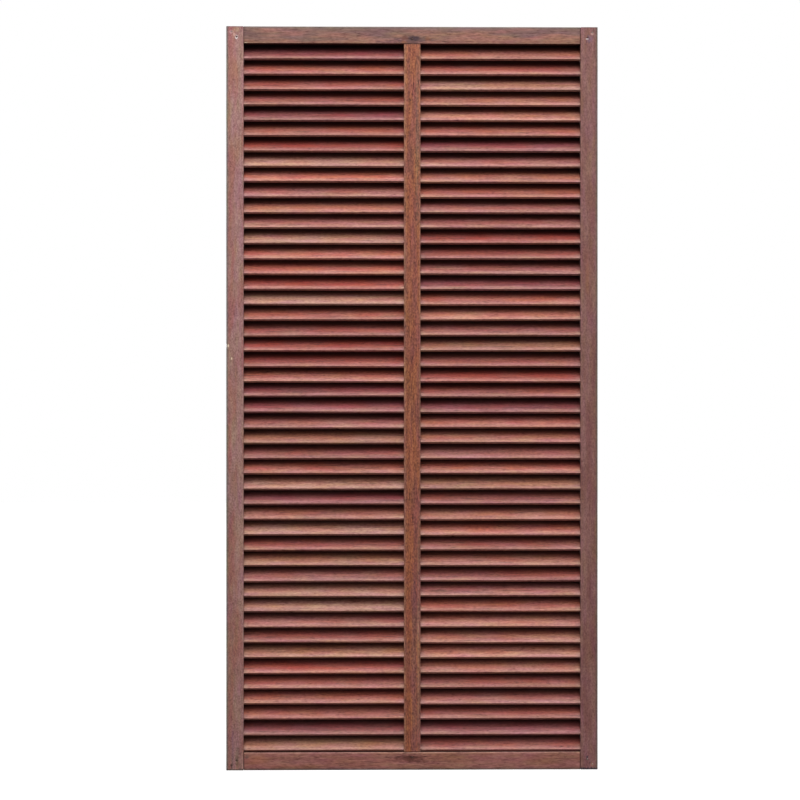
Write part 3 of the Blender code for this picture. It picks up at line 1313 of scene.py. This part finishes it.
FRAME_MEMBERS = (
    FrameMember(
        name="stile_left",
        along=UP,
        across=RIGHT,
        seed=3.0,
        finish=FrameFinish(
            "stile_left_finish", "stile_left_wood", (0.304, 0.116, 0.092), (0.320, 0.158, 0.144),
            look=STILE_LOOK, fleck=(0.262, 0.150, 0.108), painted_light_falloff=0.28, slant=1.0,
            rim=(0.130, 0.124, 0.108), rim_strength=0.85,
            marks=(
                Mark((-0.8870, -0.0080), (0.0055, 0.0045), PIN_GRIME, 0.55),
                Mark((-0.8748, 0.0042), (0.0055, 0.0045), PIN_GRIME, 0.55),
                Mark((0.8862, -0.0085), (0.0046, 0.0056), PALE_PINK, 0.75),
                Mark((0.8795, -0.0015), (0.0038, 0.0038), PALE_PINK, 0.6),
                Mark((0.8738, 0.0040), (0.0048, 0.0038), FILLER, 0.75),
                Mark((0.128, -0.0160), (0.0052, 0.0021), BARE_WOOD, 0.9),
                Mark((0.096, -0.0078), (0.0035, 0.0020), BARE_WOOD, 0.9),
                Mark((0.892, 0.006), (0.007, 0.010), PALE_OCHRE, 0.45),
                Mark((-0.850, -0.0055), (0.060, 0.0030), VIOLET, 0.4),
                Mark((-0.866, 0.0065), (0.034, 0.0055), STAIN_OLIVE, 0.45),
                Mark((-0.9000, 0.0), (0.0050, 0.090), GREEN_GREY, 0.7),
            ),
        ),
        chips=(Chip(0.128, 0.012, 0.0010, (-1, -1)),),
    ),
    FrameMember(
        name="stile_right",
        along=DOWN,
        across=LEFT,
        seed=11.0,
        finish=FrameFinish(
            "stile_right_finish", "stile_right_wood", (0.190, 0.070, 0.058), (0.224, 0.095, 0.085),
            look=STILE_LOOK, fleck=(0.212, 0.083, 0.057), painted_light_falloff=-0.17, slant=0.8,
            rim=(0.115, 0.088, 0.068), rim_strength=0.85,
            marks=(
                Mark((-0.8710, -0.0005), (0.0105, 0.0090), VIOLET, 0.85),
                Mark((-0.8712, 0.0054), (0.0013, 0.0046), FILLER, 0.70),
                Mark((-0.8843, -0.0078), (0.0040, 0.0044), PALE_PINK, 0.60),
                Mark((-0.8935, -0.0105), (0.0034, 0.0032), PIN_GRIME, 0.7),
                Mark((0.8692, 0.0042), (0.0036, 0.0044), STAIN_BLACK, 0.75),
                Mark((0.8830, -0.0035), (0.0030, 0.0034), STAIN_BLACK, 0.4),
                Mark((0.8872, -0.0076), (0.0052, 0.0048), RUST_ORANGE, 0.6),
                Mark((0.9000, 0.0), (0.0060, 0.090), STAIN_BLACK, 0.9),
                Mark((-0.30, 0.004), (0.060, 0.006), STAIN_ORANGE, 0.25),
            ),
        ),
    ),
    FrameMember(
        name="rail_top",
        along=RIGHT,
        across=DOWN,
        seed=23.0,
        finish=FrameFinish(
            "rail_top_finish", "rail_top_wood", (0.188, 0.093, 0.077), (0.300, 0.124, 0.086),
            look=RAIL_LOOK, fleck=(0.220, 0.116, 0.085), slant=1.8, rim=(0.110, 0.085, 0.072),
            bead_highlight_strength=0.6,
            marks=(
                Mark((-0.4025, 0.0), (0.0012, 0.050), STAIN_PLUM, 0.5),
                Mark((0.4020, 0.0), (0.0010, 0.050), STAIN_PLUM, 0.3),
                Mark((0.004, 0.0120), (0.050, 0.0110), STAIN_PLUM, 0.72),
                Mark((-0.062, 0.0165), (0.034, 0.0034), STAIN_PLUM, 0.5),
                Mark((0.004, 0.0082), (0.0170, 0.0046), STAIN_DAMSON, 0.7),
                Mark((0.009, 0.0078), (0.0080, 0.0044), STAIN_DAMSON, 0.7),
                Mark((0.038, 0.0105), (0.0085, 0.0100), STAIN_SIENNA, 0.85),
                Mark((-0.018, 0.0085), (0.0095, 0.0065), STAIN_SIENNA, 0.7),
                Mark((-0.019, 0.0170), (0.0080, 0.0045), STAIN_ORANGE, 0.5),
                Mark((-0.4030, 0.0192), (0.0050, 0.0014), BARE_WOOD, 0.7),
            ),
        ),
    ),
    FrameMember(
        name="rail_bottom",
        along=LEFT,
        across=UP,
        seed=31.0,
        finish=FrameFinish(
            "rail_bottom_finish", "rail_bottom_wood", (0.272, 0.098, 0.080), (0.252, 0.085, 0.063),
            look=RAIL_LOOK, fleck=(0.230, 0.100, 0.070), rim=(0.125, 0.088, 0.074), bead_highlight_strength=0.6,
            marks=(
                Mark((0.005, 0.0072), (0.050, 0.0115), STAIN_UMBER, 0.6),
                Mark((0.005, 0.0072), (0.018, 0.0090), STAIN_UMBER, 0.75),
                Mark((0.002, 0.0090), (0.0060, 0.0050), STAIN_UMBER, 0.8),
                Mark((0.375, 0.004), (0.028, 0.012), STAIN_ORANGE, 0.4),
                Mark((0.4000, 0.0120), (0.0060, 0.0060), PIN_GRIME, 0.6),
            ),
        ),
    ),
    FrameMember(
        name="mullion",
        along=UP,
        across=RIGHT,
        seed=41.0,
        finish=FrameFinish(
            "mullion_finish", "mullion_wood", (0.280, 0.080, 0.030), (0.222, 0.060, 0.040),
            look=MULLION_LOOK, fleck=(0.285, 0.080, 0.036), painted_light_falloff=0.25, slant=0.6,
            rim=PALE_EDGE, rim_strength=0.35, bead_highlight=PALE_EDGE, bead_highlight_strength=0.35,
            marks=(
                Mark((0.62, 0.012), (0.20, 0.005), STAIN_OLIVE, 0.35),
                Mark((-0.64, 0.005), (0.30, 0.008), DUSTY_PLUM, 0.6),
                Mark((-0.60, 0.0145), (0.34, 0.0022), PALE_OCHRE, 0.4),
            ),
        ),
        outer=0.0015,
        inner=0.0015,
    ),
)


@dataclass
class PanelFrame:
    """The frame: two stiles, two rails and the mullion.

    Attributes:
        members: Its members.
    """

    members: Sequence[FrameMember]

    def build(self, cutter: bpy.types.Object) -> None:
        """Build the members.

        Args:
            cutter: What the louvres and pins take out of them, which is then removed.
        """
        for member in self.members:
            member.build(cutter)
        bpy.data.objects.remove(cutter)
        LOG.info("frame: %d members", len(self.members))


# ---- The pins ----


@dataclass
class Pin:
    """A steel pin driven through a joint, its end hammered to a low dome.

    Attributes:
        name: The piece's name.
        place: The middle of its front end.
        look: How its end has weathered.
        nodes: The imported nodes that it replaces.
        radius: Its radius.
        length: Its length.
    """

    name: str
    place: Vector
    look: SteelLook
    nodes: tuple[str, ...] = ()
    radius: float = 0.0020
    length: float = 0.034

    SIDES = 20
    DOME = ((0.30, 0.03), (0.55, 0.11), (0.78, 0.26), (0.93, 0.45), (1.0, 0.70))  # in radii
    DENT = 0.05  # how uneven it is, as a share of its radius
    DENT_RATE = 900
    CLEARANCE = 0.0006
    SUNK = 0.0026

    def mesh(self) -> bpy.types.Mesh:
        """Turn the pin about its axis.

        Returns:
            Its mesh, the domed end at Y 0.
        """
        profile = [(r * self.radius, d * self.radius) for r, d in self.DOME]
        profile.append((self.radius, self.length))
        points = [(0.0, 0.0, 0.0)]
        for radius, depth in profile:
            for step in range(self.SIDES):
                angle = 2 * math.pi * step / self.SIDES
                x, z = math.cos(angle), math.sin(angle)
                dent = 1 + self.DENT * noise.noise(Vector((x, z, depth * self.DENT_RATE + self.place.x)))
                points.append((radius * dent * x, depth, radius * dent * z))
        points.append((0.0, self.length, 0.0))
        mesh = bpy.data.meshes.new(self.name)
        mesh.from_pydata(points, [], self.faces(len(profile)))
        return mesh

    def faces(self, rings: int) -> list[tuple[int, ...]]:
        """Give the faces over a number of rings.

        Args:
            rings: How many rings the pin has.

        Returns:
            The faces, facing out.
        """
        last = 1 + rings * self.SIDES
        found: list[tuple[int, ...]] = []
        for step in range(self.SIDES):
            after = (step + 1) % self.SIDES
            found.append((0, 1 + step, 1 + after))
            for ring in range(rings - 1):
                a, b = 1 + ring * self.SIDES + step, 1 + ring * self.SIDES + after
                found.append((a, a + self.SIDES, b + self.SIDES, b))
            found.append((last, last - self.SIDES + after, last - self.SIDES + step))
        return found

    def build(self) -> None:
        """Build and dress the pin."""
        mesh = self.mesh()
        mesh.materials.append(self.look.material())
        mesh.shade_smooth()
        piece = placed(self.name, mesh, Matrix.Translation(self.place))
        if self.nodes:
            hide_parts(*self.nodes)
        LOG.info("%s: %s steel", self.name, self.look.name.lower())


@dataclass(frozen=True)
class PinLook:
    """How a pin looks: its steel and its end's radius."""

    steel: SteelLook
    radius: float


CORNER_PINS = {
    "pin_top_left_outer": PinLook(SteelLook.DULL, 0.0018),
    "pin_top_left_inner": PinLook(SteelLook.RUSTED, 0.0020),
    "pin_top_right_outer": PinLook(SteelLook.DULL, 0.0018),
    "pin_top_right_inner": PinLook(SteelLook.RUSTED, 0.0018),
    "pin_bottom_left_outer": PinLook(SteelLook.RUSTED, 0.0022),
    "pin_bottom_left_inner": PinLook(SteelLook.RUSTED, 0.0022),
    "pin_bottom_right_outer": PinLook(SteelLook.DULL, 0.0018),
    "pin_bottom_right_inner": PinLook(SteelLook.DULL, 0.0022),
}
MULLION_PIN_INSET = 0.012  # from a rail's inner edge


def joint_pins() -> list[Pin]:
    """Give the pins: two through each corner joint and one through each end of the mullion.

    Returns:
        The pins.
    """
    pins = []
    for node, look in CORNER_PINS.items():
        low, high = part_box(node)
        place = Vector(((low.x + high.x) / 2, low.y, (low.z + high.z) / 2))
        pins.append(Pin(node, place, look.steel, (node,), look.radius))
    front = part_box("rail_top")[0].y
    middle = (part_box("mullion")[0].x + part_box("mullion")[1].x) / 2
    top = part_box("rail_top")[0].z + MULLION_PIN_INSET
    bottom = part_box("rail_bottom")[1].z - MULLION_PIN_INSET
    for end, height in (("top", top), ("bottom", bottom)):
        pins.append(Pin(f"pin_mullion_{end}", Vector((middle, front, height)), SteelLook.RUSTED))
    return pins


# ---- The studio ----


@dataclass
class Studio:
    """A pale floor, soft light from above and in front, and the camera.

    Attributes:
        box: The panel's box.
        distance: How far the camera stands from the panel's front.
        view_height: The height that the picture covers at the panel's front.
        turn: How far the camera stands round to the left.
        sky: How bright the overhead light is.
        softbox: The power of the softbox over the panel's front, in watts.
    """

    box: Box
    distance: float = 5.5
    view_height: float = 1.937
    turn: float = math.radians(1.0)
    sky: float = 3.0
    softbox: float = 26.0

    WHITE = (1.0, 1.0, 1.0)
    FLOOR_GREY = (0.30, 0.30, 0.30)
    FLOOR_REACH = 14.0
    # How bright the tent's parts are, in shares of its top, and where they start and end.
    SKYLINE = 0.2
    SCREENS = 0.6
    GROUND = 0.035
    FRONT_FALL = 8
    HORIZON = (-0.02, 0.02)
    SCREEN_SIDE = (0.45, 0.60)
    SCREEN_TOP = (0.50, 0.40)
    SOFTBOX_SIZE = (2.4, 1.2)
    SOFTBOX_FRONT = 1.5  # how far it hangs in front, and above the panel's top
    SOFTBOX_ABOVE = 1.4
    AIM_HEIGHT = 0.2
    SENSOR = 36.0
    SHIFT = (-0.0153, -0.0021)

    def build(self) -> None:
        """Set the studio up."""
        self.add_floor()
        self.add_sky()
        self.add_softbox()
        self.add_camera()
        bpy.context.scene.view_settings.view_transform = "Standard"
        LOG.info("studio: floor, sky, softbox and camera")

    def add_floor(self) -> None:
        """Lay a plain pale floor under the panel."""
        low, reach = self.box[0].z, self.FLOOR_REACH
        corners = [(x * reach, y * reach, low) for x, y in ((-1, -1), (1, -1), (1, 1), (-1, 1))]
        mesh = bpy.data.meshes.new("floor")
        mesh.from_pydata(corners, [], [(0, 1, 2, 3)])
        tree = Principled("studio_floor", Roughness=0.8, Emission_Strength=0.78)
        tree.drive("Base Color", self.FLOOR_GREY)
        tree.drive("Emission Color", self.WHITE)
        mesh.materials.append(tree.material)
        floor = linked("floor", mesh)
        floor.visible_diffuse = False
        floor.visible_glossy = False
        floor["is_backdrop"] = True

    def add_sky(self) -> None:
        """Light the panel from a white tent, brightest overhead, and from two low screens behind it."""
        world = bpy.data.worlds.new("studio_tent")
        bpy.context.scene.world = world
        tree = ShaderTree(world)
        side, depth, height = tree.axes(tree.node("ShaderNodeTexCoord", output="Generated"))
        front = (0.5 - self.FRONT_FALL * depth).at_least(0.0).at_most(1.0)
        above = tree.smooth(height, *self.HORIZON)
        screens = tree.smooth(abs(side), *self.SCREEN_SIDE) * tree.smooth(height, *self.SCREEN_TOP)
        roof = (height.at_least(0.0) ** 2 + self.SKYLINE) * front + self.SCREENS * (1 - front) * screens
        tent = roof * above + self.GROUND * (1 - above)
        seen = tree.node("ShaderNodeLightPath", output="Is Camera Ray")
        backdrop = tree.nodes["Background"]
        tree.feed(backdrop.inputs["Strength"], seen + (1 - seen) * self.sky * tent)
        tree.feed(backdrop.inputs["Color"], self.WHITE)

    def add_softbox(self) -> None:
        """Hang a softbox above the panel's front."""
        light = bpy.data.lights.new("softbox", "AREA")
        light.shape = "RECTANGLE"
        light.size, light.size_y = self.SOFTBOX_SIZE
        light.energy = self.softbox
        lamp = linked("softbox", light)
        lamp.location = (0, -self.SOFTBOX_FRONT, self.box[1].z + self.SOFTBOX_ABOVE)
        aim = Vector((0, self.box[0].y, self.AIM_HEIGHT)) - lamp.location
        lamp.rotation_euler = aim.to_track_quat("-Z", "Y").to_euler()

    def add_camera(self) -> None:
        """Stand the camera square in front of the panel's middle."""
        data = bpy.data.cameras.new("camera")
        data.sensor_width = self.SENSOR
        data.lens = self.SENSOR * self.distance / self.view_height
        data.shift_x, data.shift_y = self.SHIFT
        camera = linked("camera", data)
        side, back = self.distance * math.sin(self.turn), self.distance * math.cos(self.turn)
        camera.location = (-side, self.box[0].y - back, 0)
        camera.rotation_euler = (math.pi / 2, 0, -self.turn)
        bpy.context.scene.camera = camera


# ---- The panel ----


def louvre_rows() -> list[tuple[str, Vector]]:
    """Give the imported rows' names and middles, from the top."""
    nodes = [part["node"] for part in FRAME["record"]["subparts"]]
    return [(node, sum(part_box(node), Vector()) / 2) for node in sorted(nodes) if node.startswith("slat_row_")]


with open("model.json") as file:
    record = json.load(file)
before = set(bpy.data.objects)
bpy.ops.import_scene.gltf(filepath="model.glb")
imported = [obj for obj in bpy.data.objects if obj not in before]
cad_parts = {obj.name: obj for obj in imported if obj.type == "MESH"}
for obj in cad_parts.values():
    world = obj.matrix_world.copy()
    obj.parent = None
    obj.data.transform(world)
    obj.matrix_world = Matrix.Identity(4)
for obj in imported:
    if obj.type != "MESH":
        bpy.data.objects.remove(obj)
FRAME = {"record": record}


def main() -> None:
    """Build the panel and the studio."""
    logging.basicConfig(level=logging.INFO, format="%(name)s: %(message)s")
    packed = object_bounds()
    rows = louvre_rows()
    mullion_low, mullion_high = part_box("mullion")
    stack = shuffled_stack()
    left = LouvreBay("left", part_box("stile_left")[1].x, mullion_low.x, rows, stack[: len(rows)], seed=5)
    right = LouvreBay("right", mullion_high.x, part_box("stile_right")[0].x, rows, stack[len(rows) :], seed=8)
    left.build()
    right.build()
    pins = joint_pins()
    recesses = Recesses()
    for louvre in (*left.louvres, *right.louvres):
        recesses.add_louvre(louvre)
    for pin in pins:
        recesses.add_pin(pin)
        pin.build()
    PanelFrame(FRAME_MEMBERS).build(recesses.solid())
    Studio(packed).build()


if __name__ == "__main__":
    main()
